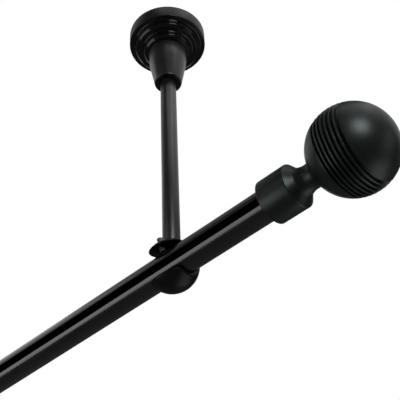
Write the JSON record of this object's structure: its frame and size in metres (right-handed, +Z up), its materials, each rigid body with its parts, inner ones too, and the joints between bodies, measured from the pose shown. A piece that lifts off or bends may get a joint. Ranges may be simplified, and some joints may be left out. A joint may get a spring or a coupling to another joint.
{
  "type": "ceiling-mounted curtain rod",
  "caption": "Black metal curtain rod with an inner glider track, hung from the ceiling on a stem with a stepped rosette and a ball carrier, ending in a grooved ball finial.",
  "frame": {"origin": "centre of the rosette's ceiling face", "axes": "+Z up out of the ceiling face along the stem, +X along the rod towards the finial, -Y towards the open side of the carrier"},
  "size_m": [0.3802, 0.06, 0.2633],
  "materials": {
    "black_paint": "satin black paint on steel",
    "matte_black_paint": "matte black powder coat",
    "black_screw": "blackened steel screw",
    "zinc_steel": "zinc-plated steel",
    "black_plastic": "moulded black plastic"
  },
  "bodies": {
    "root": {"ceiling_plate": "zinc_steel", "plate_stud": "zinc_steel", "rosette": "black_paint", "cone_socket": "black_paint", "socket_screw": "black_screw", "stem": "black_paint", "stem_spigot": "zinc_steel", "carrier": "black_paint", "clamp_screw": "black_screw", "rod": "black_paint", "end_cap": "black_plastic", "finial": "matte_black_paint", "finial_screw": "black_screw"}
  },
  "joints": []
}
